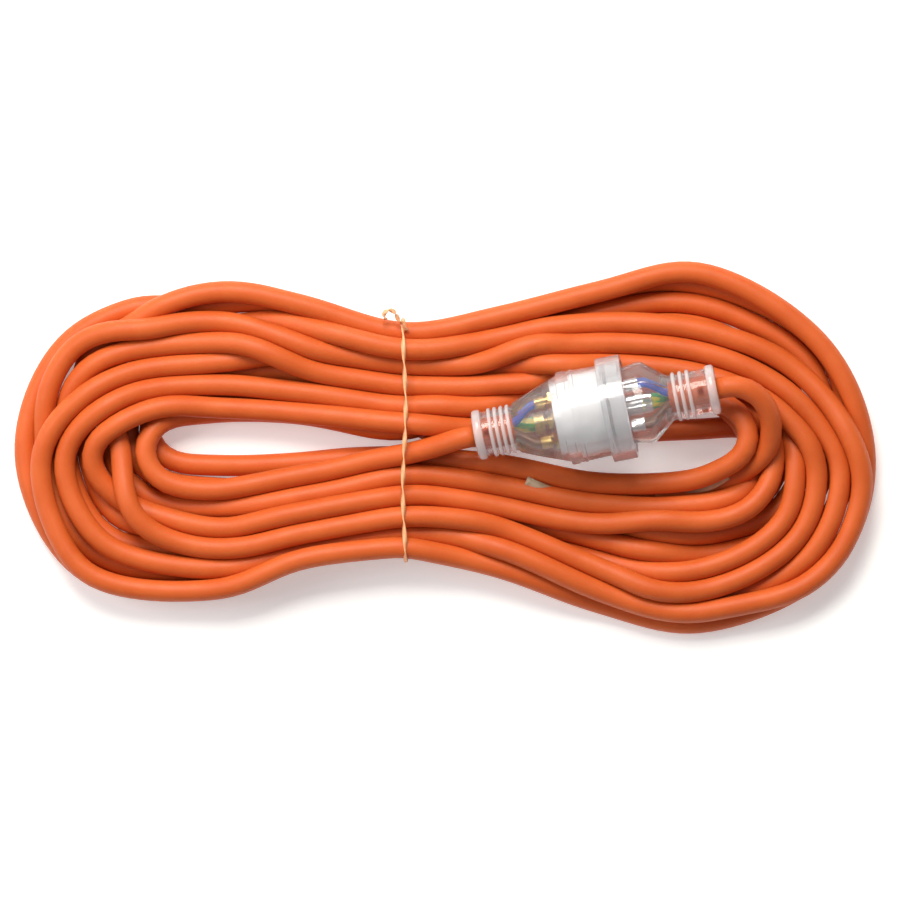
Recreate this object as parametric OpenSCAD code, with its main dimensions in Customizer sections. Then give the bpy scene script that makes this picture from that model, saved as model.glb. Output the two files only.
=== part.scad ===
// Orange mains extension lead, folded into a tied hank, with its clear plug pushed into its clear socket.
// Millimetres. Origin at the centre of the base, +X along the hank, +Z up from the surface it lies on.

/* [Cord] */
// Outer diameter of the cord's sheath
cord_d = 9; // [8.6:0.1:9.2]
// Diameter of one insulated core
core_d = 2.9; // [2.6:0.1:3]
// Height of the folded hank, about two nested layers of cord
hank_h = 17.5; // [16.5:0.5:18.5]

/* [Plug and socket placing] */
// Middle of the mating face, along the hank
mate_x = 68.5; // [66:0.5:70]
// Middle of the mating face, across the hank
mate_y = 16.2; // [15:0.1:18]
// Middle of the mating face, above the base
mate_z = 31.5; // [31:0.5:34]
// Turn of the mated pair in plan
mate_turn = 11; // [10:0.5:12]
// Rise of the mated pair towards the plug
mate_rise = 4; // [3:0.5:5]

/* [Socket] */
// Length of the socket behind the mating face
socket_len = 57; // [56:0.5:60]
// Outer diameter of the socket's barrel
barrel_d = 38.6; // [38:0.1:39]
// Outer diameter of the clear collar
collar_d = 44; // [43:0.5:46]
// Distance that the collar stands past the mating face
collar_lip = 8.4; // [7:0.1:9]
// Outer diameter of the white contact carrier
carrier_d = 35; // [34.5:0.1:35.4]

/* [Plug] */
// Length of the plug from its face to the cord
plug_len = 46; // [45:0.5:50]
// Diameter of the plug's head, inside the collar
plug_head_d = 37.6; // [37:0.1:37.8]
// Widest diameter of the plug's grip
plug_grip_d = 34.6; // [33.5:0.1:36]

/* [Pins] */
// Width of each flat pin
pin_w = 6.35; // [6.3:0.05:6.4]
// Thickness of each flat pin
pin_t = 1.6; // [1.55:0.05:1.65]
// Length of the two slanted pins
live_pin_len = 17; // [16.5:0.5:17.5]
// Length of the earth pin
earth_pin_len = 20; // [19.5:0.5:20]
// Distance of the slanted pins from the axis
live_pin_r = 7.92; // [7.9:0.01:7.94]
// Distance of the earth pin from the axis
earth_pin_r = 10.3; // [10.2:0.05:10.4]

/* [Hidden] */
$fn = 96;
cord_r = cord_d / 2;
gap = 0.05;                                  // clearance of each flat fit
bore_r = cord_r + gap;

// The hank's outline: hand-chosen points clockwise from the waist, joined by a smooth curve.
hank_outline = [
    [-17, 53], [2, 54], [44, 66], [86, 76], [107, 78.5], [128, 76.5], [149, 64], [166, 41.5],
    [177.5, 12], [181.5, -9], [178.5, -26], [158, -59], [124, -76], [86, -75.5], [44, -63],
    [2, -48.5], [-17, -45.5], [-40, -46.5], [-82, -59.5], [-124, -67], [-145, -63], [-162, -50],
    [-180, -13], [-181.5, 3.5], [-178.5, 20.5], [-155, 53], [-124, 68], [-103, 71], [-61, 65], [-36, 57]
];
left_eye = [[-114, 5], [-108, 9], [-75, 11.5], [-42, 8.5], [-21, 2.5], [-48, 1], [-90, 0.5], [-110, 2]];
right_eye = [[115, -2], [107, 1.5], [82, 2], [57, 1.5], [44, -3], [62, -9], [82, -11], [100, -10]];

// The free ends of the cord, hand-chosen, from each moulding down into the hank.
lead_straight = 2;                           // each one leaves its moulding straight for this far
socket_route = [
    [5.5, 3.9, 26.6], [-4, 1, 22.8], [-16, -3.5, 18.5], [-30, -7.5, 16.5],
    [-46, -11, 15], [-62, -14, 13.5], [-80, -17.5, 13], [-95, -19.5, 13]
];
plug_route = [
    [121, 25.4, 34.6], [129, 21.5, 32], [134.5, 14, 28], [135.5, 5, 23.5],
    [131, -4, 18], [122, -10.5, 12], [111, -15, 8], [98, -18.5, 6.5], [84, -21, 6.5]
];

// Cable tie round the waist
tie_x = -17;
tie_w = 1.8;
tie_t = 0.8;
tie_tail_route = [
    [-16, 49.5, 19.2], [-17, 52, 20.2], [-19.5, 54, 21], [-21, 57, 21.6], [-23.5, 58, 21.6],
    [-25.5, 56.4, 21.4], [-24.8, 54, 21]
];

// Blank tag strip under the inner strand
tag_route = [[33, -12.5], [44, -16], [60, -19], [80, -20.5], [98, -19.5], [108, -16.5], [118, -11]];
tag_w = 4;
tag_t = 0.6;
tag_z = 9.6;

// Socket stations, along the pair's axis from the mating face
socket_relief_end = -(socket_len - 17);
socket_ridge = -19.5;
carrier_back = -22;
carrier_step = -14;
carrier_tail_r = 15.2;                       // the carrier's thinner back, round the contacts
collar_back = -2;
socket_sheath_end = socket_relief_end + 0.5;
socket_crimp = [-29, -24.5];

// Plug stations
plug_relief_start = plug_len - 19.6;
plug_sheath_end = plug_relief_start - 1.4;
bridge_x = [1.5, 6.5];
plug_crimp = [9, 14];
pin_tail = plug_crimp[0];

relief_tube_d = 18.6;
relief_rib_d = 20.8;
relief_flange_d = 21;
relief_flange_w = 3.8;
rib_pitch = 3;
rib_w = 1.5;
rib_count = 3;
window_w = 1.6;
window_len = 7.6;

// The three poles: [name index, across, up, slant of the flat faces, pin length]
live_y = live_pin_r * cos(30);
live_z = live_pin_r * sin(30);
pin_slant = 30;
ACTIVE = 0;
NEUTRAL = 1;
EARTH = 2;
poles = [
    [-live_y, live_z, pin_slant, live_pin_len],
    [live_y, live_z, -pin_slant, live_pin_len],
    [0, -earth_pin_r, 0, earth_pin_len]
];
core_colours = ["saddlebrown", "royalblue", "limegreen"];
crimp_r = 2.2;
core_ring_r = 1.95;                          // where the cores lie inside the sheath
sleeve_len = 9;
sleeve_t = 0.35;
contact_len = 18;
contact_wall = 0.8;

// A point on a smooth closed curve through p, between p[i] and p[i + 1]
function curve_at(p, i, t) =
    let (n = len(p), a = p[(i + n - 1) % n], b = p[i], c = p[(i + 1) % n], d = p[(i + 2) % n])
    0.5 * (2 * b + (c - a) * t + (2 * a - 5 * b + 4 * c - d) * t * t + (3 * b - a - 3 * c + d) * t * t * t);
function closed_curve(p, steps) = [for (i = [0 : len(p) - 1], s = [0 : steps - 1]) curve_at(p, i, s / steps)];

function unit(v) = v / norm(v);
// A point on the pair's axis, at a distance from the mating face
function on_axis(x) = [mate_x, mate_y, mate_z]
    + x * [cos(mate_rise) * cos(mate_turn), cos(mate_rise) * sin(mate_turn), sin(mate_rise)];
function direction(p, i) = unit(p[min(i + 1, len(p) - 1)] - p[max(i - 1, 0)]);
// A ring of corners round p[i], square to the route
function ring(p, i, r, sides) =
    let (d = direction(p, i), side = unit(cross(d, [0, 0, 1])), up = cross(side, d))
    [for (k = [0 : sides - 1]) p[i] + r * (cos(360 * k / sides) * side + sin(360 * k / sides) * up)];

// A tube swept along a route, with flat ends
module swept_tube(p, r, sides) {
    n = len(p);
    corners = [for (i = [0 : n - 1]) each ring(p, i, r, sides)];
    walls = [for (i = [0 : n - 2], k = [0 : sides - 1])
        let (a = i * sides + k, b = i * sides + (k + 1) % sides) [a, b, b + sides, a + sides]];
    near_end = [for (k = [sides - 1 : -1 : 0]) k];
    far_end = [for (k = [0 : sides - 1]) (n - 1) * sides + k];
    polyhedron(corners, concat([near_end], walls, [far_end]));
}

// Carries a shape drawn along +X from the mating face to where the pair lies
module on_pair() {
    translate([mate_x, mate_y, mate_z]) rotate([0, -mate_rise, mate_turn]) children();
}
// A cylinder along +X from x0 to x1
module rod(r, x0, x1) {
    translate([x0, 0, 0]) rotate([0, 90, 0]) cylinder(r = r, h = x1 - x0);
}
// A solid turned about +X; outline is [distance along X, radius] pairs
module turned(outline) {
    rotate([0, 90, 0]) rotate_extrude() polygon([for (q = outline) [q[1], q[0]]]);
}
// A flat bar of a pole's section, from x0 to x1
module pole_bar(pole, w, t, x0, x1) {
    translate([x0, pole[0], pole[1]])
        rotate([pole[2], 0, 0])
            translate([0, -t / 2, -w / 2])
                cube([x1 - x0, t, w]);
}
module every_pole_bar(w, t, x0, x1) {
    for (pole = poles) pole_bar(pole, w, t, x0, x1);
}

// ---- hank, leads, tie and tag ----

// The waist's cross-section, with the socket's lead on top, grown by a margin
module waist_section(grow) {
    end_r = hank_h / 2 - 1;
    hull() {
        translate([51.5 - end_r, hank_h / 2]) circle(r = end_r + grow, $fn = 32);
        translate([-44.5 + end_r, hank_h / 2]) circle(r = end_r + grow, $fn = 32);
        translate([-3.8, 18.4]) circle(r = cord_r + 0.3 + grow, $fn = 32);
    }
}
module at_waist(x0, x1) {
    translate([x0, 0, 0]) rotate([90, 0, 90]) linear_extrude(x1 - x0) children();
}
module cord_hank() {
    color("orangered") difference() {
        linear_extrude(hank_h) difference() {
            polygon(closed_curve(hank_outline, 4));
            polygon(closed_curve(left_eye, 3));
            polygon(closed_curve(right_eye, 3));
        }
        on_pair() rod(collar_d / 2 + 0.4, -socket_len + 18, plug_len + 30);
        on_pair() rod(relief_flange_d / 2 + 0.4, -socket_len - lead_straight, -socket_len + 19);
        difference() {
            translate([tie_x - tie_w / 2 - 0.1, -60, -1]) cube([tie_w + 0.2, 130, hank_h + 2]);
            at_waist(tie_x - tie_w, tie_x + tie_w) waist_section(0);
        }
    }
}
module cable_tie() {
    color("sandybrown") at_waist(tie_x - tie_w / 2, tie_x + tie_w / 2) difference() {
        waist_section(0.1 + tie_t);
        waist_section(0.1);
    }
}
module tie_tail() {
    color("sandybrown") swept_tube(tie_tail_route, 0.8, 8);
}
module tag_strip() {
    n = len(tag_route);
    side = [for (i = [0 : n - 1]) let (d = unit(tag_route[min(i + 1, n - 1)] - tag_route[max(i - 1, 0)]))
        tag_w / 2 * [-d[1], d[0]]];
    color("tan") translate([0, 0, tag_z]) linear_extrude(tag_t) polygon(concat(
        [for (i = [0 : n - 1]) tag_route[i] + side[i]],
        [for (i = [n - 1 : -1 : 0]) tag_route[i] - side[i]]
    ));
}
module socket_lead() {
    square_start = [on_axis(-socket_len), on_axis(-socket_len - lead_straight)];
    color("orangered") swept_tube(concat(square_start, socket_route), cord_r, 12);
}
module plug_lead() {
    square_start = [on_axis(plug_len), on_axis(plug_len + lead_straight)];
    color("orangered") swept_tube(concat(square_start, plug_route), cord_r, 12);
}

// ---- parts that the plug and the socket share ----

// The ribbed strain relief from its thin end at x = 0 to its root at x = length
module strain_relief(length) {
    difference() {
        union() {
            rod(relief_tube_d / 2, 0, length);
            turned([[0, 0], [0, relief_flange_d / 2 - 0.9], [0.9, relief_flange_d / 2],
                [relief_flange_w - 0.9, relief_flange_d / 2], [relief_flange_w, relief_flange_d / 2 - 0.9],
                [relief_flange_w, 0]]);
            for (i = [0 : rib_count - 1])
                rod(relief_rib_d / 2, length - 1.6 - i * rib_pitch - rib_w, length - 1.6 - i * rib_pitch);
        }
        for (turn = [0, 180])
            rotate([turn, 0, 0])
                translate([relief_flange_w + 1.6, -window_len / 2, cord_r + 0.3])
                    cube([window_w, window_len, relief_tube_d]);
    }
}
// A crimp barrel on a pole, with the core's end in it
module crimp(pole, x0, x1) {
    translate([0, pole[0], pole[1]]) difference() {
        rod(crimp_r, x0, x1);
        rod(core_d / 2 + gap, x0 - 1, x1 + 1);
    }
}
// One core, from the cut sheath to its crimp
module core(index, sheath_x, crimp_x) {
    pole = poles[index];
    turn = [150, 30, 270][index];
    start = core_ring_r * [cos(turn), sin(turn)];
    finish = [pole[0], pole[1]];
    side = crimp_x > sheath_x ? 1 : -1;
    bend_x = sheath_x + side;
    first = [sheath_x, start[0], start[1]];
    route = [for (s = [0 : 0.125 : 1])
        let (ease = s * s * (3 - 2 * s), at = start + (finish - start) * ease)
        [bend_x + (crimp_x - bend_x) * s, at[0], at[1]]];
    last = [crimp_x + side * 3, finish[0], finish[1]];
    color(core_colours[index]) on_pair() swept_tube(concat([first], route, [last]), core_d / 2, 10);
}

// ---- socket ----

module socket_body() {
    color("whitesmoke", 0.5) on_pair() difference() {
        union() {
            translate([-socket_len, 0, 0]) strain_relief(17);
            turned([[socket_relief_end - 1, 0], [socket_relief_end - 1, 9], [socket_relief_end, 10],
                [socket_ridge, 18.3], [socket_ridge + 0.6, 19.65], [carrier_step + 1, 19.65],
                [carrier_step + 2, barrel_d / 2], [-0.5, barrel_d / 2 - 0.4], [0, barrel_d / 2 - 0.9], [0, 0]]);
        }
        rod(bore_r, -socket_len - 1, socket_relief_end + 2);
        turned([[socket_sheath_end, 0], [socket_sheath_end, 6.6], [socket_crimp[0] - 3, 12],
            [carrier_back - 0.1, 15.4], [carrier_back - 0.1, 0]]);
        rod(carrier_tail_r + gap, carrier_back - 0.2, 1);
        rod(carrier_d / 2 + gap, carrier_step - 0.1, 1);
    }
}
module socket_collar() {
    color("whitesmoke", 0.5) on_pair() difference() {
        turned([[collar_back, 0], [collar_back, collar_d / 2 - 0.5], [collar_back + 0.5, collar_d / 2],
            [collar_lip - 0.5, collar_d / 2], [collar_lip, collar_d / 2 - 0.5], [collar_lip, 0]]);
        rod(barrel_d / 2 + gap, collar_back - 1, collar_lip + 1);
    }
}
module socket_carrier() {
    color("white") on_pair() difference() {
        union() {
            rod(carrier_tail_r, carrier_back, carrier_step + 0.1);
            rod(carrier_d / 2, carrier_step, -gap);
        }
        every_pole_bar(pin_w + 0.4, pin_t + 0.4, -3, 1);
        every_pole_bar(pin_w + 2 * contact_wall + 0.4, pin_t + 2 * contact_wall + 0.4, carrier_back - 1, -2.5);
    }
}
// A contact: a folded spring sleeve round the pin's path, with a tail to its crimp
module socket_contact(index) {
    pole = poles[index];
    x1 = carrier_back + contact_len;
    color("darkgoldenrod") on_pair() union() {
        difference() {
            pole_bar(pole, pin_w + 2 * contact_wall + 0.2, pin_t + 2 * contact_wall + 0.2, carrier_back - 1, x1);
            pole_bar(pole, pin_w + 0.2, pin_t + 0.2, carrier_back, x1 + 1);
        }
        pole_bar(pole, 3, 1, socket_crimp[1], carrier_back - 0.5);
    }
}
module socket_crimp_on(index) {
    color("goldenrod") on_pair() crimp(poles[index], socket_crimp[0], socket_crimp[1]);
}
module socket_core(index) { core(index, socket_sheath_end, socket_crimp[0]); }
module socket_cord_end() {
    color("orangered") on_pair() rod(cord_r, -socket_len, socket_sheath_end);
}

// ---- plug ----

module plug_body() {
    color("whitesmoke", 0.5) on_pair() difference() {
        union() {
            turned([[gap, 0], [gap, plug_head_d / 2 - 0.5], [0.5 + gap, plug_head_d / 2], [6.4, plug_head_d / 2],
                [8, 16.2], [15, plug_grip_d / 2], [17, plug_grip_d / 2 - 0.5], [plug_relief_start, 9.2],
                [plug_relief_start + 1, 9], [plug_relief_start + 1, 0]]);
            translate([plug_len, 0, 0]) mirror([1, 0, 0]) strain_relief(19.6);
        }
        rod(bore_r, plug_sheath_end - 2, plug_len + 1);
        turned([[bridge_x[1], 0], [bridge_x[1], 14.4], [plug_crimp[1], 14], [plug_sheath_end, 6.6],
            [plug_sheath_end, 0]]);
        rod(13.4 + gap, bridge_x[0], bridge_x[1] + 0.1);
        every_pole_bar(pin_w + 2 * gap, pin_t + 2 * gap, -1, bridge_x[0] + 0.5);
    }
}
module pin_bridge() {
    color("white") on_pair() difference() {
        rod(13.4, bridge_x[0] + gap, bridge_x[1]);
        every_pole_bar(pin_w - 2 * sleeve_t + 2 * gap, pin_t - 2 * sleeve_t + 2 * gap, 0, bridge_x[1] + 1);
    }
}
// A slanted pin is thinner where its insulating sleeve covers it
module plug_pin(index) {
    pole = poles[index];
    thin_w = pin_w - 2 * sleeve_t;
    thin_t = pin_t - 2 * sleeve_t;
    bare_end = index == EARTH ? bridge_x[0] : -sleeve_len;
    color("silver") on_pair() union() {
        pole_bar(pole, pin_w, pin_t, -pole[3], bare_end);
        pole_bar(pole, thin_w, thin_t, bare_end - 0.1, pin_tail - 0.5);
        pole_bar(pole, 3, thin_t, pin_tail - 1, pin_tail);
    }
}
module pin_sleeve(index) {
    pole = poles[index];
    color("dimgray") on_pair() difference() {
        pole_bar(pole, pin_w, pin_t, -sleeve_len, bridge_x[0]);
        pole_bar(pole, pin_w - 2 * sleeve_t, pin_t - 2 * sleeve_t, -sleeve_len - 1, bridge_x[0] + 1);
    }
}
module plug_crimp_on(index) {
    color("silver") on_pair() crimp(poles[index], plug_crimp[0], plug_crimp[1]);
}
module plug_core(index) { core(index, plug_sheath_end, plug_crimp[1]); }
module plug_cord_end() {
    color("orangered") on_pair() rod(cord_r, plug_sheath_end, plug_len);
}

cord_hank();
socket_lead();
plug_lead();
cable_tie();
tie_tail();
tag_strip();
socket_body();
socket_collar();
socket_carrier();
socket_cord_end();
socket_contact(ACTIVE);  // active_contact
socket_contact(NEUTRAL);  // neutral_contact
socket_contact(EARTH);  // earth_contact
socket_crimp_on(ACTIVE);  // socket_active_crimp
socket_crimp_on(NEUTRAL);  // socket_neutral_crimp
socket_crimp_on(EARTH);  // socket_earth_crimp
socket_core(ACTIVE);  // socket_active_core
socket_core(NEUTRAL);  // socket_neutral_core
socket_core(EARTH);  // socket_earth_core
plug_body();
pin_bridge();
plug_cord_end();
plug_pin(ACTIVE);  // active_pin
plug_pin(NEUTRAL);  // neutral_pin
plug_pin(EARTH);  // earth_pin
pin_sleeve(ACTIVE);  // active_pin_sleeve
pin_sleeve(NEUTRAL);  // neutral_pin_sleeve
plug_crimp_on(ACTIVE);  // plug_active_crimp
plug_crimp_on(NEUTRAL);  // plug_neutral_crimp
plug_crimp_on(EARTH);  // plug_earth_crimp
plug_core(ACTIVE);  // plug_active_core
plug_core(NEUTRAL);  // plug_neutral_core
plug_core(EARTH);  // plug_earth_core
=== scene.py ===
import math

import bmesh
import bpy
import numpy as np
from mathutils import Matrix, Vector


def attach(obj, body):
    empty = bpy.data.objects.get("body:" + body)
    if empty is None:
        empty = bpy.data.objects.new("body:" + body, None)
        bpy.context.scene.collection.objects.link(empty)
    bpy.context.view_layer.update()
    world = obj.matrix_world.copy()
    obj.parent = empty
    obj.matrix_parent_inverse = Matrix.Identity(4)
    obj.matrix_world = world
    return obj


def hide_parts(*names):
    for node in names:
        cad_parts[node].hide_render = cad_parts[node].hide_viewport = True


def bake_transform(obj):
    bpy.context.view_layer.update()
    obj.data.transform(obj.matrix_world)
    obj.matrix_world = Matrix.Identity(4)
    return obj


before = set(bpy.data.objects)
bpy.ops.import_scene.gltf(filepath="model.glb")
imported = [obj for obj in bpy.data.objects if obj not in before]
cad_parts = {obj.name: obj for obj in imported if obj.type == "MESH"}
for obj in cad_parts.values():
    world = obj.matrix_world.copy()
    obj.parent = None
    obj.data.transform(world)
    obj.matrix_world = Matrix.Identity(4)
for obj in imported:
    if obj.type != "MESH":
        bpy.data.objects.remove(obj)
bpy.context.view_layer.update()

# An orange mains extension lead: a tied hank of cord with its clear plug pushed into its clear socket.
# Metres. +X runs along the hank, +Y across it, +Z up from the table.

ROOT = "hank_and_socket"
PLUG = "plug"

# ---- sizes, as in the CAD source ----

CORD_D = 0.009
CORD_R = CORD_D / 2
LAYER = 0.0078                      # rise from one nested layer of cord to the next
MATE = np.array([0.0685, 0.0162, 0.0315])
MATE_TURN = math.radians(11)
MATE_RISE = math.radians(4)
SOCKET_LEN = 0.057
PLUG_LEN = 0.046
COLLAR_R = 0.022
BARREL_R = 0.0193
TIE_X = -0.017

AXIS = np.array([
    math.cos(MATE_RISE) * math.cos(MATE_TURN),
    math.cos(MATE_RISE) * math.sin(MATE_TURN),
    math.sin(MATE_RISE),
])
PAIR = (
    Matrix.Translation(MATE)
    @ Matrix.Rotation(MATE_TURN, 4, "Z")
    @ Matrix.Rotation(-MATE_RISE, 4, "Y")
)

# Outlines of the mouldings: distance along the pair from the mating face, and radius
SOCKET_OUTLINE = [(-0.057, 0.0105), (-0.04, 0.0105), (-0.0195, 0.0186), (-0.0189, 0.0198), (-0.0021, 0.0198)]
COLLAR_OUTLINE = [(-0.002, COLLAR_R), (0.0084, COLLAR_R)]
# The room that the plug takes up on its way out of the socket
PLUG_WAY = [(0.0085, 0.0188), (0.03, 0.0188), (0.039, 0.0174), (0.0504, 0.0107), (0.07, 0.0107)]


def on_axis(x):
    """The point on the pair's axis at a distance from the mating face."""
    return tuple(MATE + x * AXIS)


# ---- camera: straight down, as in the photograph ----

VIEW_W = 0.378
VIEW_CENTRE = (0.0021, -0.0006)
CAMERA_H = 3.0
SENSOR_W = 36.0

camera_data = bpy.data.cameras.new("camera")
camera_data.sensor_width = SENSOR_W
camera_data.lens = SENSOR_W * (CAMERA_H - 0.012) / VIEW_W
camera_data.clip_end = 20
camera = bpy.data.objects.new("camera", camera_data)
camera.location = (VIEW_CENTRE[0], VIEW_CENTRE[1], CAMERA_H)
bpy.context.scene.collection.objects.link(camera)
bpy.context.scene.camera = camera


# ---- the hank's route ----

# Gates that the turns pass, clockwise from the waist's near side: each one's inner and outer end. They lie near
# the CAD outline and holes. Before they were set, a scratch script had printed the photographed outline's top
# and bottom at several of them.
GATES = [
    ((-0.017, 0.0005), (-0.017, -0.0455)),
    ((-0.061, 0.0006), (-0.061, -0.051)),
    ((-0.0945, 0.0006), (-0.0945, -0.0635)),
    ((-0.1145, 0.0015), (-0.155, -0.055)),
    ((-0.1175, 0.005), (-0.1815, -0.003)),
    ((-0.1145, 0.008), (-0.161, 0.049)),
    ((-0.0945, 0.0107), (-0.0945, 0.0705)),
    ((-0.061, 0.011), (-0.061, 0.065)),
    ((-0.017, 0.0025), (-0.017, 0.053)),
    ((0.023, 0.0005), (0.023, 0.06)),
    ((0.065, 0.0015), (0.065, 0.0705)),
    ((0.107, 0.001), (0.107, 0.0785)),
    ((0.122, 0.0035), (0.163, 0.0445)),
    ((0.124, -0.001), (0.1815, -0.009)),
    ((0.119, -0.006), (0.164, -0.053)),
    ((0.107, -0.01), (0.107, -0.078)),
    ((0.065, -0.01), (0.065, -0.0695)),
    ((0.023, -0.003), (0.023, -0.0545)),
]

# Each turn's place in every gate, from 0 at the inner side to 10 at the outer side, and the layer it lies in
# there. The first two run on from the socket. The others run, in this order backwards, to the plug.
# These two tables break the rule against number tables made by another program. They began as a scratch
# script's output from strands traced on the photo, and were partly guessed and changed by hand. No loop works
# them out.
SOCKET_TURNS = [
    ([-0.1, 2.3, 2.7, 1.6, 1, 1, 0.8, 0.5, 1, 2, 1.7, 2.7, 0.9, -0.3, -0.9, -0.4, 0, -0.2],
     "211111000100122211"),
    ([0, 0.6, 0.6, 0.5, 0.9, 1.9, 2, 1.8, 1.8, 0.7, 0.3, 0.6, 1.6, 2.2, 1.9],
     "000000000000000"),
]
PLUG_TURNS = [
    ([9.9, 10, 10.2, 10.1, 10, 10, 8.9, 9.3, 9.4, 9.9, 9.9, 9.2, 9.7, 8.6, 8.2],
     "000000000000000"),
    ([8, 8.4, 8.8, 8.8, 8.6, 9.4, 7.5, 6.8, 6.8, 6.5, 6.1, 5.2, 4.8, 7.7, 8.3, 9, 8.5, 8.6],
     "000001111111111000"),
    ([6.2, 6.6, 7.2, 7.4, 7.2, 6.8, 5.8, 4.8, 4.6, 3.8, 5.5, 5, 3, 3.6, 5.3, 6.2, 6.8, 6.9],
     "000001111100011100"),
    ([2, 4.6, 4.2, 3.2, 3.1, 5, 5.2, 6.5, 7.5, 8.4, 8.8, 8, 9, 6.6, 5.5, 5.2, 5.1, 5.2],
     "110000000011100100"),
    ([4.2, 5.6, 5.8, 4.8, 5.1, 1.5, 0.3, -0.1, 0.6, 0.6, 3.2, 3.4, 1.6, 1.1, 1.8, 1.6, 1.7, 1.9],
     "111011111110111111"),
    ([8.6, 8.9, 8.5, 7.5, 6.9, 3.5, 2.2, 1.6, 2.5, 2.2, 4.2, 4, 2.2, 2, 2.1, 2.6, 3.1, 3.9],
     "111111111100111111"),
    ([6.6, 7.8, 7.1, 4.6, 2.5, 6.4, 6.8, 8.4, 8.7, 8.2, 7.5, 6.4, 7.1, 9.8, 9.6, 8.7, 8.8, 8.8],
     "111110011111111111"),
    ([10, 10, 10, 10, 8.6, 5, 3.9, 4.7, 5.6, 5.3, 4.7, 3.8, 3.3, 5.5, 6.9, 7.4, 7.2, 7],
     "111111100011111111"),
    ([4.5, 4.7, 5.6, 6.2, 5.6, 8.2, 10.2, 10.2, 10, 10.1, 10.2, 10.1, 10.2, 10, 10, 10, 10.1, 10.1],
     "000000111111100000"),
    ([2.3, 2.7, 2.4, 2, 2.6, 3.8, 3.8, 3.6, 4.1, 4, 7, 6.5, 5.2, 4.8, 3.9, 3.9, 3.2, 3.4],
     "000000000000000100"),
]

# The hole in the hank's middle: the place in every gate that no turn comes further in than
HOLE_EDGE = [-0.2, 0, 0, 0, 0, 0, 0, -0.2, -0.2, 0, 0, 0, 0, -0.4, -1, -0.4, 0, -0.2]

# Points of the cord's two free ends, and of its fold at the far end of the hank.
SOCKET_END = [
    on_axis(-SOCKET_LEN), on_axis(-SOCKET_LEN - 0.002), (0.0055, 0.0039, 0.0266), (-0.004, 0.001, 0.0228),
]
FOLD = [(0.107, -0.027, CORD_R), (0.094, -0.031, CORD_R), (0.087, -0.0385, CORD_R), (0.0865, -0.0495, CORD_R),
        (0.094, -0.0575, CORD_R), (0.107, -0.0615, CORD_R)]
PLUG_END = [
    (0.023, -0.013, CORD_R), (0.065, -0.0195, CORD_R), (0.107, -0.0172, 0.006), (0.121, -0.0118, 0.0105),
    (0.1295, -0.0065, 0.0152), (0.135, 0, 0.0192), (0.1365, 0.0075, 0.0238), (0.1355, 0.0145, 0.028),
    (0.132, 0.0205, 0.0315), (0.1265, 0.0245, 0.034), (0.1205, 0.026, 0.0348), on_axis(PLUG_LEN + 0.002),
    on_axis(PLUG_LEN),
]
STEP = 0.0042                       # distance between the points of a settled cord
HOLD = 0.1                          # how strongly each turn keeps to its lanes
TIGHTEST = 0.022                    # radius below which settling eases a bend; some bends stay tighter
SINK = 0.00025                      # how far a point sinks in the first round
KEEP_SHAPE = ((1, 0.3), (3, 0.15))  # smoothing of the settling: reach in points, and strength
KEEP_LENGTH = 0.25                  # share of a step's stretch that is taken back at a time
EASE_BEND = 0.6                     # share of a too tight bow that is taken out at a time
PUSH_APART = 0.3                    # share of an overlap that each of two points moves at a time
LEVEL_OUT = 0.4                     # strength of the last smoothing
LOOK_EVERY = 10                     # rounds between two searches for points that may touch
MAY_TOUCH = 1.55                    # distance of such points, in cord diameters
NEIGHBOURS = 6                      # points along the cord that are never taken to touch
FIXED_START, FIXED_END = 3, 22      # points that don't move, at the socket's end and at the plug's
FREE_START, FREE_END = 12, 8        # points at the same two ends that may lie in the pair's room


def turn_points(turn):
    """The points where one turn passes the gates."""
    points = []
    for gate, lane, layer in zip(GATES, turn[0], turn[1]):
        inner, outer = np.array(gate[0]), np.array(gate[1])
        width = np.linalg.norm(outer - inner)
        x, y = inner + (outer - inner) / width * (CORD_R + lane / 10 * (width - CORD_D))
        points.append((x, y, CORD_R + LAYER * int(layer)))
    return points


def even_steps(line, step):
    along = np.concatenate([[0], np.cumsum(np.linalg.norm(np.diff(line, axis=0), axis=1))])
    at = np.linspace(0, along[-1], int(round(along[-1] / step)) + 1)
    return np.stack([np.interp(at, along, line[:, k]) for k in range(3)], axis=1)


def smooth_line(points, step):
    """A smooth curve through the points (a centripetal Catmull-Rom spline), in even steps."""
    p = np.array(points, float)
    p = np.vstack([2 * p[0] - p[1], p, 2 * p[-1] - p[-2]])
    pieces = []
    for i in range(1, len(p) - 2):
        q = p[i - 1:i + 3]
        t = np.concatenate([[0], np.cumsum(np.linalg.norm(np.diff(q, axis=0), axis=1) ** 0.5)])
        count = max(4, int(1000 * (t[2] - t[1]) ** 2))
        u = np.linspace(t[1], t[2], count, endpoint=False)[:, None]
        a = [((t[j + 1] - u) * q[j] + (u - t[j]) * q[j + 1]) / (t[j + 1] - t[j]) for j in range(3)]
        b = [((t[j + 2] - u) * a[j] + (u - t[j]) * a[j + 1]) / (t[j + 2] - t[j]) for j in range(2)]
        pieces.append(((t[2] - u) * b[0] + (u - t[1]) * b[1]) / (t[2] - t[1]))
    pieces.append(p[-2][None])
    return even_steps(np.vstack(pieces), step)


def clear_of_pair(p, free):
    """Pushes points that lie inside the plug or the socket out of them."""
    outline = np.array(SOCKET_OUTLINE + COLLAR_OUTLINE + PLUG_WAY)
    offset = p - MATE
    station = offset @ AXIS
    across = offset - station[:, None] * AXIS
    distance = np.linalg.norm(across, axis=1)
    needed = np.interp(station, outline[:, 0], outline[:, 1]) + CORD_R + 0.0002
    beside = (station > outline[0, 0] - 0.001) & (station < outline[-1, 0] + 0.001)
    inside = beside & (distance < needed) & ~free
    p[inside] += across[inside] * ((needed - distance) / distance)[inside, None]


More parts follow.
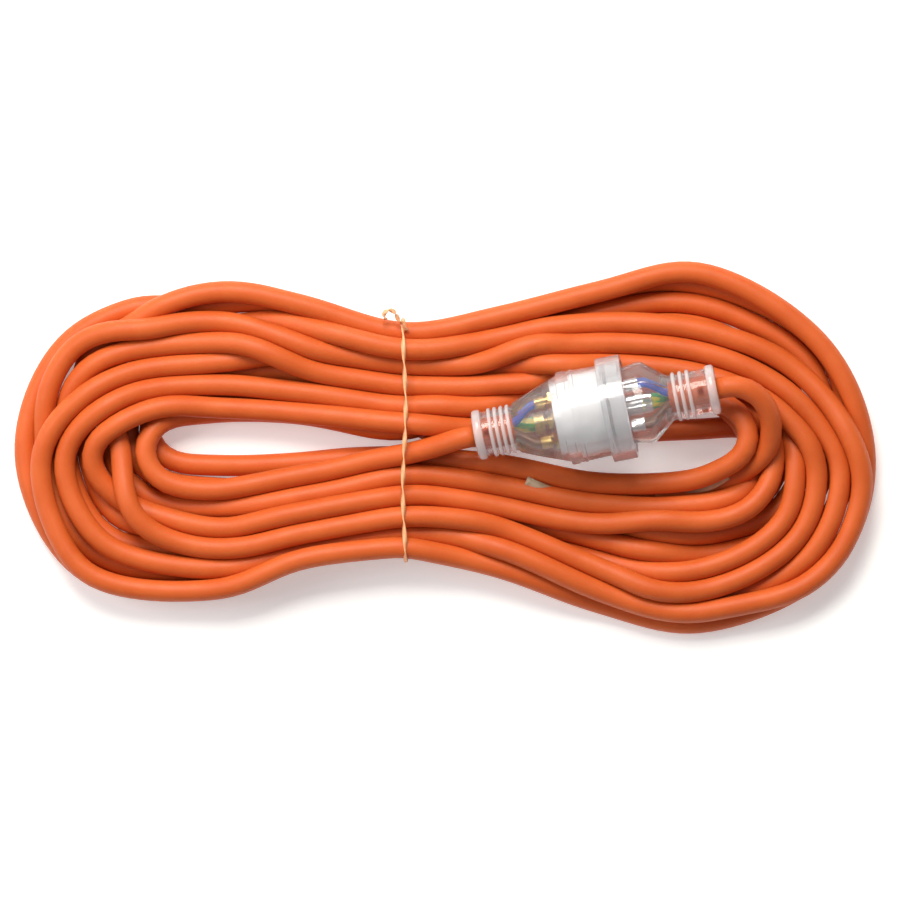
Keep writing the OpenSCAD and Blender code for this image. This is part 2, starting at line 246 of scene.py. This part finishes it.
def edge_line(lanes):
    """A closed line through a place in every gate, and its outward directions."""
    corners = turn_points((lanes, "0" * len(GATES)))
    line = smooth_line(corners + corners[:1], STEP)[:, :2]
    forward = np.roll(line, -1, axis=0) - np.roll(line, 1, axis=0)
    forward[0] = forward[-1] = line[1] - line[-2]
    outward = np.stack([-forward[:, 1], forward[:, 0]], axis=1) / np.linalg.norm(forward, axis=1)[:, None]
    return line, outward


def past_edge(p, edge):
    """How far each point lies outside an edge, and the outward direction there."""
    line, outward = edge
    nearest = ((p[:, None, :2] - line[None]) ** 2).sum(2).argmin(1)
    return ((p[:, :2] - line[nearest]) * outward[nearest]).sum(1)[:, None], outward[nearest]


def settled(line, rounds):
    """Lets the cord lie down: its turns keep near their lanes, rest on the table and on each other,
    and keep their length. Where three cross, some still press into each other."""
    rim = edge_line([10] * len(GATES))
    hole = edge_line(HOLE_EDGE)
    p = line.copy()
    flat = line * [1, 1, 0]
    rest = np.linalg.norm(np.diff(line, axis=0), axis=1)
    most_sag = (2 * STEP) ** 2 / 2 / TIGHTEST
    ends = np.zeros(len(p), bool)
    ends[:FIXED_START] = ends[-FIXED_END:] = True
    near_ends = np.zeros(len(p), bool)
    near_ends[:FREE_START] = near_ends[-FREE_END:] = True
    for k in range(rounds):
        cool = 1 - k / rounds
        if k % LOOK_EVERY == 0:
            squared = ((p[:, None] - p[None]) ** 2).sum(2)
            i, j = np.nonzero(squared < (MAY_TOUCH * CORD_D) ** 2)
            apart = j - i > NEIGHBOURS
            i, j = i[apart], j[apart]
        p[:, 2] -= SINK * (0.15 + 0.85 * cool)
        p[:, :2] += HOLD * (0.1 + 0.9 * cool) * (line[:, :2] - p[:, :2])
        shift = p - flat
        for reach, strength in KEEP_SHAPE:
            middle = 0.5 * (shift[:-2 * reach] + shift[2 * reach:])
            shift[reach:-reach] += (0.3 + 0.7 * cool) * strength * (middle - shift[reach:-reach])
        p = flat + shift
        for _ in range(2):
            span = np.diff(p, axis=0)
            size = np.linalg.norm(span, axis=1)
            change = (KEEP_LENGTH * (size - rest) / size)[:, None] * span
            p[:-1] += change
            p[1:] -= change
        bow = p[2:-2] - 0.5 * (p[:-4] + p[4:])
        size = np.linalg.norm(bow, axis=1)
        ease = (EASE_BEND * np.maximum(size - most_sag, 0) / np.maximum(size, 1e-9))[:, None] * bow
        p[2:-2] -= ease
        p[:-4] += 0.5 * ease
        p[4:] += 0.5 * ease
        for _ in range(4):
            gap = p[j] - p[i]
            size = np.linalg.norm(gap, axis=1)
            hit = size < CORD_D
            push = (PUSH_APART * (CORD_D - size[hit]) / np.maximum(size[hit], 1e-6))[:, None] * gap[hit]
            np.add.at(p, j[hit], push)
            np.add.at(p, i[hit], -push)
        beyond, out = past_edge(p, rim)
        p[:, :2] -= np.maximum(beyond, 0) * out
        inside, out = past_edge(p, hole)
        p[:, :2] -= np.where(near_ends[:, None], 0, np.minimum(inside, 0)) * out
        clear_of_pair(p, near_ends)
        p[:, 2] = np.maximum(p[:, 2], CORD_R)
        p[ends] = line[ends]
    for _ in range(3):
        p[1:-1] += LEVEL_OUT * (0.5 * (p[:-2] + p[2:]) - p[1:-1])
        p[ends] = line[ends]
    return even_steps(p, STEP)


def cord_route():
    points = list(SOCKET_END)
    for turn in SOCKET_TURNS:
        points += turn_points(turn)
    points += FOLD
    for turn in PLUG_TURNS:
        points += turn_points(turn)[::-1]
    points += PLUG_END
    return smooth_line(points, STEP)


route = settled(cord_route(), 400)
# The plug's lead is a piece of its own. It meets the hank where the innermost turn hides the joint.
PLUG_LEAD_POINTS = 25
CUT = len(route) - PLUG_LEAD_POINTS


# ---- mesh helpers ----

def new_object(name, mesh, body, material, replaced=()):
    piece = bpy.data.objects.new(name, mesh)
    bpy.context.scene.collection.objects.link(piece)
    mesh.materials.append(material)
    for face in mesh.polygons:
        face.use_smooth = True
    if body:
        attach(piece, body)
    if replaced:
        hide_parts(*replaced)
    return piece


def swept_mesh(name, path, section, twist=0.0, closed=False):
    """A section (points across and up) swept along a path, turned evenly by twist on the way."""
    path = np.array(path, float)
    count = len(path)
    sides = len(section)
    ahead = np.roll(path, -1, axis=0) - np.roll(path, 1, axis=0)
    if not closed:
        ahead[0] = path[1] - path[0]
        ahead[-1] = path[-1] - path[-2]
    ahead /= np.linalg.norm(ahead, axis=1)[:, None]
    side = np.cross(ahead[0], (0, 0, 1))
    if np.linalg.norm(side) < 0.1:
        side = np.cross(ahead[0], (0, 1, 0))
    corners = []
    for k in range(count):
        side = side - ahead[k] * (side @ ahead[k])
        side /= np.linalg.norm(side)
        up = np.cross(side, ahead[k])
        angle = twist * k / count
        for across, rise in section:
            a = across * math.cos(angle) - rise * math.sin(angle)
            b = across * math.sin(angle) + rise * math.cos(angle)
            corners.append(path[k] + a * side + b * up)
    faces = []
    for k in range(count if closed else count - 1):
        here, there = k * sides, (k + 1) % count * sides
        for s in range(sides):
            t = (s + 1) % sides
            faces.append((here + s, here + t, there + t, there + s))
    if not closed:
        faces.append(tuple(range(sides - 1, -1, -1)))
        faces.append(tuple((count - 1) * sides + s for s in range(sides)))
    mesh = bpy.data.meshes.new(name)
    mesh.from_pydata([tuple(c) for c in corners], [], faces)
    mesh.update()
    return mesh


def circle(radius, sides):
    angles = [math.tau * s / sides for s in range(sides)]
    return [(radius * math.cos(a), radius * math.sin(a)) for a in angles]


def turned_mesh(name, outline, segments=120, seam=0.0, facets=0, facet_span=(0, 0)):
    """A solid turned about the pair's axis from (distance, radius) points that start and end on the axis
    or run round a ring. seam raises a moulding line, and facets flattens the sides over facet_span."""
    ring = outline[0][1] > 0
    corners = []
    for x, radius in outline:
        for s in range(segments):
            angle = math.tau * s / segments
            r = radius
            if seam and radius > 0.008 and s in (segments // 12, segments // 12 + segments // 2):
                r += seam
            if facets and facet_span[0] <= x <= facet_span[1]:
                part = math.tau / facets
                flat = math.cos(part / 2) / math.cos((angle % part) - part / 2)
                r *= 0.35 + 0.65 * flat
            corners.append(PAIR @ Vector((x, r * math.sin(angle), r * math.cos(angle))))
    faces = []
    last = len(outline) if ring else len(outline) - 1
    for k in range(last):
        here, there = k * segments, (k + 1) % len(outline) * segments
        for s in range(segments):
            t = (s + 1) % segments
            faces.append((here + s, there + s, there + t, here + t))
    mesh = bpy.data.meshes.new(name)
    mesh.from_pydata(corners, [], faces)
    work = bmesh.new()
    work.from_mesh(mesh)
    bmesh.ops.remove_doubles(work, verts=work.verts, dist=1e-6)
    bmesh.ops.recalc_face_normals(work, faces=work.faces)
    work.to_mesh(mesh)
    work.free()
    return mesh


def rounded(x0, x1, low, high):
    """A rounded rib's outline between two stations."""
    steps = 6
    half = (x1 - x0) / 2
    angles = [math.pi * k / steps for k in range(steps + 1)]
    return [(x0 + half - half * math.cos(a), low + (high - low) * math.sin(a) ** 0.6) for a in angles]


def cut_boxes(piece, boxes):
    """Cuts boxes, given as local corners about the pair, out of a piece."""
    for low, high in boxes:
        work = bmesh.new()
        bmesh.ops.create_cube(work, size=1)
        size = Vector(high) - Vector(low)
        middle = (Vector(high) + Vector(low)) / 2
        work.transform(PAIR @ Matrix.Translation(middle) @ Matrix.Diagonal((*size, 1)))
        mesh = bpy.data.meshes.new("cutter")
        work.to_mesh(mesh)
        work.free()
        cutter = bpy.data.objects.new("cutter", mesh)
        bpy.context.scene.collection.objects.link(cutter)
        cut = piece.modifiers.new("cut", "BOOLEAN")
        cut.operation = "DIFFERENCE"
        cut.solver = "EXACT"
        cut.object = cutter
        bpy.context.view_layer.update()
        result = bpy.data.meshes.new_from_object(piece.evaluated_get(bpy.context.evaluated_depsgraph_get()))
        piece.modifiers.clear()
        piece.data = result
        bpy.data.objects.remove(cutter)
    for face in piece.data.polygons:
        face.use_smooth = True
    piece.data.set_sharp_from_angle(angle=math.radians(35))


# ---- materials ----

def new_material(name, colour, roughness, **sockets):
    """A Principled material; extra sockets are given by name with spaces as underscores."""
    material = bpy.data.materials.new(name)
    material.use_nodes = True
    shader = material.node_tree.nodes["Principled BSDF"]
    shader.inputs["Base Color"].default_value = (*colour, 1)
    shader.inputs["Roughness"].default_value = roughness
    for socket, value in sockets.items():
        shader.inputs[socket.replace("_", " ")].default_value = value
    return material


def noise(material, scale, detail=3.0):
    tree = material.node_tree
    place = tree.nodes.new("ShaderNodeTexCoord")
    texture = tree.nodes.new("ShaderNodeTexNoise")
    texture.inputs["Scale"].default_value = scale
    texture.inputs["Detail"].default_value = detail
    tree.links.new(place.outputs["Object"], texture.inputs["Vector"])
    return texture.outputs["Fac"]


def mottle(material, scale, dark, light):
    """Varies the base colour gently between two colours."""
    tree = material.node_tree
    ramp = tree.nodes.new("ShaderNodeValToRGB")
    ramp.color_ramp.elements[0].position = 0.35
    ramp.color_ramp.elements[1].position = 0.65
    ramp.color_ramp.elements[0].color = (*dark, 1)
    ramp.color_ramp.elements[1].color = (*light, 1)
    tree.links.new(noise(material, scale), ramp.inputs["Fac"])
    tree.links.new(ramp.outputs["Color"], tree.nodes["Principled BSDF"].inputs["Base Color"])


def uneven(material, scale, low, high):
    """Varies the roughness between two values."""
    tree = material.node_tree
    spread = tree.nodes.new("ShaderNodeMapRange")
    spread.inputs["To Min"].default_value = low
    spread.inputs["To Max"].default_value = high
    tree.links.new(noise(material, scale), spread.inputs["Value"])
    tree.links.new(spread.outputs["Result"], tree.nodes["Principled BSDF"].inputs["Roughness"])


def grain(material, scale, height):
    """Adds a fine bump."""
    tree = material.node_tree
    bump = tree.nodes.new("ShaderNodeBump")
    bump.inputs["Distance"].default_value = height
    tree.links.new(noise(material, scale), bump.inputs["Height"])
    tree.links.new(bump.outputs["Normal"], tree.nodes["Principled BSDF"].inputs["Normal"])


def finished(name, dark, light, roughness, colour_scale, grain_scale, grain_height, **sockets):
    """A material with mottled colour, uneven gloss and a fine bump."""
    material = new_material(name, light, roughness, **sockets)
    mottle(material, colour_scale, dark, light)
    uneven(material, colour_scale * 3, roughness * 0.85, roughness * 1.2)
    grain(material, grain_scale, grain_height)
    return material


sheath = finished("orange_sheath", (0.57, 0.096, 0.015), (0.62, 0.115, 0.021), 0.5, 60, 1400, 0.00006,
                  Specular_IOR_Level=0.32, Subsurface_Weight=0.3, Subsurface_Scale=0.003)


def soft_pvc(name, transmission, alpha):
    """Clear soft PVC with a slight lilac haze."""
    material = new_material(
        name, (0.93, 0.925, 0.955), 0.08, Transmission_Weight=transmission, IOR=1.46, Alpha=alpha,
    )
    uneven(material, 240, 0.04, 0.12)
    grain(material, 320, 0.00008)
    return material


clear_pvc = soft_pvc("clear_pvc", 0.91, 0.84)
cloudy_pvc = soft_pvc("cloudy_pvc", 0.82, 0.88)
# Whiter, less clear PVC for the rib tops: a painted highlight standing in for the bright rings of light across
# the ribs.
rib_highlight_pvc = soft_pvc("rib_highlight_pvc", 0.5, 0.8)
white_nylon = finished("white_nylon", (0.88, 0.875, 0.86), (0.94, 0.935, 0.92), 0.4, 150, 900, 0.00003)
brass = finished("brass", (0.55, 0.36, 0.12), (0.78, 0.55, 0.22), 0.28, 500, 1500, 0.00003, Metallic=1.0)
tinned = finished("tinned_metal", (0.62, 0.62, 0.62), (0.82, 0.82, 0.81), 0.25, 500, 1500, 0.00003,
                  Metallic=1.0)
sleeve = finished("dark_sleeve", (0.03, 0.03, 0.032), (0.05, 0.05, 0.052), 0.5, 300, 1200, 0.00003)
core_brown = finished("brown_core", (0.16, 0.06, 0.025), (0.22, 0.085, 0.035), 0.4, 300, 1500, 0.00002)
core_blue = finished("blue_core", (0.015, 0.06, 0.42), (0.02, 0.09, 0.55), 0.4, 300, 1500, 0.00002)
core_green = finished("green_yellow_core", (0.03, 0.34, 0.06), (0.05, 0.42, 0.08), 0.4, 300, 1500, 0.00002)
tie_plastic = finished("tie_strip", (0.80, 0.36, 0.16), (0.88, 0.46, 0.24), 0.45, 400, 1200, 0.00004,
                       Subsurface_Weight=0.15, Subsurface_Scale=0.001)
tag_plastic = finished("tag_strip", (0.55, 0.40, 0.26), (0.68, 0.52, 0.36), 0.3, 200, 600, 0.00006,
                       Transmission_Weight=0.45, IOR=1.45)
table = finished("pale_table", (0.88, 0.88, 0.88), (0.90, 0.90, 0.90), 0.7, 4, 300, 0.00001,
                 Emission_Color=(1, 1, 1, 1), Emission_Strength=0.3)


def striped(material, colour, pitch):
    """Adds lengthwise stripes of a second colour, in bands across the pair."""
    tree = material.node_tree
    shader = tree.nodes["Principled BSDF"]
    place = tree.nodes.new("ShaderNodeTexCoord")
    wave = tree.nodes.new("ShaderNodeTexWave")
    wave.bands_direction = "Y"
    wave.inputs["Scale"].default_value = 1 / pitch
    mix = tree.nodes.new("ShaderNodeMix")
    mix.data_type = "RGBA"
    sharp = tree.nodes.new("ShaderNodeMath")
    sharp.operation = "GREATER_THAN"
    sharp.inputs[1].default_value = 0.55
    tree.links.new(place.outputs["Object"], wave.inputs["Vector"])
    tree.links.new(wave.outputs["Fac"], sharp.inputs[0])
    tree.links.new(sharp.outputs["Value"], mix.inputs["Factor"])
    tree.links.new(shader.inputs["Base Color"].links[0].from_socket, mix.inputs["A"])
    mix.inputs["B"].default_value = (*colour, 1)
    tree.links.new(mix.outputs["Result"], shader.inputs["Base Color"])


striped(core_green, (0.75, 0.62, 0.04), 0.008)

NODE_MATERIALS = {
    "socket_carrier": white_nylon, "pin_bridge": white_nylon,
    "socket_cord_end": sheath, "plug_cord_end": sheath,
    "active_contact": brass, "neutral_contact": brass, "earth_contact": brass,
    "socket_active_crimp": brass, "socket_neutral_crimp": brass, "socket_earth_crimp": brass,
    "plug_active_crimp": tinned, "plug_neutral_crimp": tinned, "plug_earth_crimp": tinned,
    "active_pin": tinned, "neutral_pin": tinned, "earth_pin": tinned,
    "active_pin_sleeve": sleeve, "neutral_pin_sleeve": sleeve,
    "socket_active_core": core_brown, "plug_active_core": core_brown,
    "socket_neutral_core": core_blue, "plug_neutral_core": core_blue,
    "socket_earth_core": core_green, "plug_earth_core": core_green,
}
for node, material in NODE_MATERIALS.items():
    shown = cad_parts[node]
    shown.data.materials.clear()
    shown.data.materials.append(material)


# ---- the cord ----


CORD_SIDES = 16
hank_line = route[:CUT + 1]
lead_line = route[CUT:]
hank = new_object(
    "hank_cord", swept_mesh("hank_cord", hank_line, circle(CORD_R, CORD_SIDES)), ROOT, sheath,
    ["cord_hank", "socket_lead"],
)
lead = new_object(
    "plug_lead_cord", swept_mesh("plug_lead_cord", lead_line, circle(CORD_R, CORD_SIDES)), None,
    sheath, ["plug_lead"],
)
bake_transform(lead)


# ---- the clear mouldings ----

RELIEF_R = 0.0093
RIB_R = 0.0104
FLANGE_R = 0.0105
SEAM = 0.00018


def relief_outline(start, length, ribs, pitch):
    """The ribbed strain relief from its flange to its root, going along +X."""
    points = [
        (start, 0), (start, FLANGE_R - 0.0012), (start + 0.0004, FLANGE_R - 0.0004), (start + 0.0011, FLANGE_R),
        (start + 0.0028, FLANGE_R), (start + 0.0035, FLANGE_R - 0.0004), (start + 0.0038, RELIEF_R),
    ]
    for k in range(ribs):
        rib_start = start + length - 0.0001 - pitch * (ribs - k)
        points += rounded(rib_start, rib_start + 0.0017, RELIEF_R, RIB_R)
    return points


def relief_windows(middle):
    """Slots through the relief's smooth part, above and below the cord."""
    low, high = middle - 0.0012, middle + 0.0012
    return [
        ((low, -0.0024, 0.0048), (high, 0.0024, 0.02)),
        ((low, -0.0024, -0.02), (high, 0.0024, -0.0048)),
    ]


def paint_rib_highlights(piece):
    """Makes the tops of the relief's ribs and flange whiter and less clear: a painted highlight for the bright
    rings of light across them.
    """
    piece.data.materials.append(rib_highlight_pvc)
    for face in piece.data.polygons:
        offset = np.array(face.center) - MATE
        station = offset @ AXIS
        radius = np.linalg.norm(offset - station * AXIS)
        on_relief = station < -0.0402 or station > 0.0266
        if on_relief and radius > RELIEF_R + 0.0003:
            face.material_index = 1


socket_outline = relief_outline(-SOCKET_LEN, 0.017, 4, 0.0026) + [
    (-0.04, 0.0096), (-0.0392, 0.0106), (-0.031, 0.0140), (-0.0205, 0.0179), (-0.0195, 0.0184),
    (-0.0192, 0.0194), (-0.0186, 0.01975), (-0.0158, 0.01975), (-0.0156, 0.0194), (-0.0136, 0.0194),
    (-0.0134, 0.01965), (-0.0122, 0.01965), (-0.012, BARREL_R), (-0.0008, 0.019), (-0.0001, 0.0184),
    (0, 0.0181), (0, 0.01758), (-0.01405, 0.01758), (-0.01405, 0.01526), (-0.02205, 0.01526), (-0.02205, 0),
]
socket_shell = new_object(
    "socket_moulding", turned_mesh("socket_moulding", socket_outline, seam=SEAM), ROOT,
    clear_pvc, ["socket_body"],
)
cut_boxes(socket_shell, relief_windows(-SOCKET_LEN + 0.0052))
# The whiter rib and flange tops are a painted highlight.
paint_rib_highlights(socket_shell)

collar_outline = [
    (-0.002, 0.01938), (-0.002, 0.0216), (-0.0018, 0.0219), (-0.0014, COLLAR_R), (0.0078, COLLAR_R),
    (0.0082, 0.0219), (0.0084, 0.0216), (0.0084, 0.0199), (0.0078, 0.01938),
]
collar = new_object(
    "clear_collar", turned_mesh("clear_collar", collar_outline, seam=SEAM), ROOT, cloudy_pvc,
    ["socket_collar"],
)
collar.data.set_sharp_from_angle(angle=math.radians(35))

plug_outline = [
    (0.00005, 0), (0.00005, 0.0182), (0.0004, 0.0188), (0.0058, 0.0188), (0.0064, 0.0184), (0.007, 0.0168),
    (0.008, 0.0162), (0.011, 0.0167), (0.015, 0.0173), (0.017, 0.0169), (0.0215, 0.0132), (0.0255, 0.0099),
    (0.0264, 0.0095),
] + [(-x, r) for x, r in relief_outline(-PLUG_LEN, 0.0196, 3, 0.003)[::-1]]
plug_shell = new_object(
    "plug_moulding",
    turned_mesh("plug_moulding", plug_outline, seam=SEAM, facets=12, facet_span=(0.0075, 0.022)),
    PLUG, clear_pvc, ["plug_body"],
)
cut_boxes(plug_shell, relief_windows(PLUG_LEN - 0.0068))
# The whiter rib and flange tops are a painted highlight.
paint_rib_highlights(plug_shell)


# ---- tie and tag ----

def hull(points):
    """The convex outline of flat points, anticlockwise."""
    points = sorted(map(tuple, points))

    def turning(a, b, c):
        return (b[0] - a[0]) * (c[1] - a[1]) - (b[1] - a[1]) * (c[0] - a[0])

    def half(run):
        out = []
        for q in run:
            while len(out) > 1 and turning(out[-2], out[-1], q) <= 0:
                out.pop()
            out.append(q)
        return out[:-1]
    return half(points) + half(points[::-1])


def tie_path():
    """A loop pulled tight round the strands at the waist."""
    near = route[np.abs(route[:, 0] - TIE_X) < STEP]
    rim = [(y + (CORD_R + 0.0005) * math.cos(a), z + (CORD_R + 0.0005) * math.sin(a))
           for y, z in near[:, 1:] for a in np.linspace(0, math.tau, 24, endpoint=False)]
    loop = np.array(hull(rim))
    loop = np.vstack([loop, loop[:1]])
    line = np.stack([np.full(len(loop), TIE_X), loop[:, 0], np.maximum(loop[:, 1], 0.0011)], axis=1)
    line = even_steps(line, 0.0008)[:-1]
    line[:, 0] += 0.0006 * np.sin(line[:, 1] / 0.011)
    return line


TIE_SECTION = [(-0.0009, -0.0003), (0.0009, -0.0003), (0.0009, 0.0003), (-0.0009, 0.0003)]
tie_line = tie_path()
new_object(
    "tie_strip", swept_mesh("tie_strip", tie_line, TIE_SECTION, twist=math.tau * 9, closed=True), ROOT,
    tie_plastic, ["cable_tie"],
)
TAIL = [
    (-0.016, 0.0495, 0.0192), (-0.017, 0.052, 0.0202), (-0.0195, 0.054, 0.021), (-0.021, 0.057, 0.0216),
    (-0.0235, 0.058, 0.0216), (-0.0255, 0.0564, 0.0214), (-0.0248, 0.054, 0.021),
]
new_object(
    "tie_curl", swept_mesh("tie_curl", smooth_line(TAIL, 0.0006), TIE_SECTION, twist=math.tau * 2.5), ROOT,
    tie_plastic, ["tie_tail"],
)
TAG = [
    (0.034, -0.0135, 0.0158), (0.04, -0.0162, 0.0158), (0.047, -0.0185, 0.013), (0.06, -0.0178, 0.0098),
    (0.08, -0.016, 0.0098), (0.098, -0.016, 0.0105), (0.104, -0.0165, 0.0118), (0.111, -0.0155, 0.0138),
    (0.1185, -0.0112, 0.0155),
]
TAG_SECTION = [(-0.002, -0.0002), (0.002, -0.0002), (0.002, 0.0002), (-0.002, 0.0002)]
new_object(
    "blank_tag", swept_mesh("blank_tag", smooth_line(TAG, 0.0015), TAG_SECTION), ROOT,
    tag_plastic, ["tag_strip"],
)


# ---- table and light ----

FLOOR_HALF = 2.5
floor_mesh = bpy.data.meshes.new("table_top")
floor_mesh.from_pydata(
    [(x * FLOOR_HALF, y * FLOOR_HALF, 0) for x, y in ((-1, -1), (1, -1), (1, 1), (-1, 1))], [], [(0, 1, 2, 3)]
)
floor = bpy.data.objects.new("table_top", floor_mesh)
floor_mesh.materials.append(table)
bpy.context.scene.collection.objects.link(floor)


def soft_light(name, place, size, power, colour=(1, 1, 1)):
    lamp_data = bpy.data.lights.new(name, "AREA")
    lamp_data.shape = "SQUARE"
    lamp_data.size = size
    lamp_data.energy = power
    lamp_data.color = colour
    lamp = bpy.data.objects.new(name, lamp_data)
    lamp.location = place
    lamp.rotation_euler = (-Vector(place)).to_track_quat("-Z", "Y").to_euler()
    bpy.context.scene.collection.objects.link(lamp)


soft_light("far_softbox", (-0.25, 1.1, 1.3), 0.9, 38, (1, 0.98, 0.9))
soft_light("left_softbox", (-1.2, 0.2, 1.0), 0.7, 8)
world = bpy.data.worlds.new("studio")
world.use_nodes = True
world.node_tree.nodes["Background"].inputs["Color"].default_value = (1, 1, 1, 1)
world.node_tree.nodes["Background"].inputs["Strength"].default_value = 0.3
bpy.context.scene.world = world
bpy.context.scene.view_settings.view_transform = "Standard"
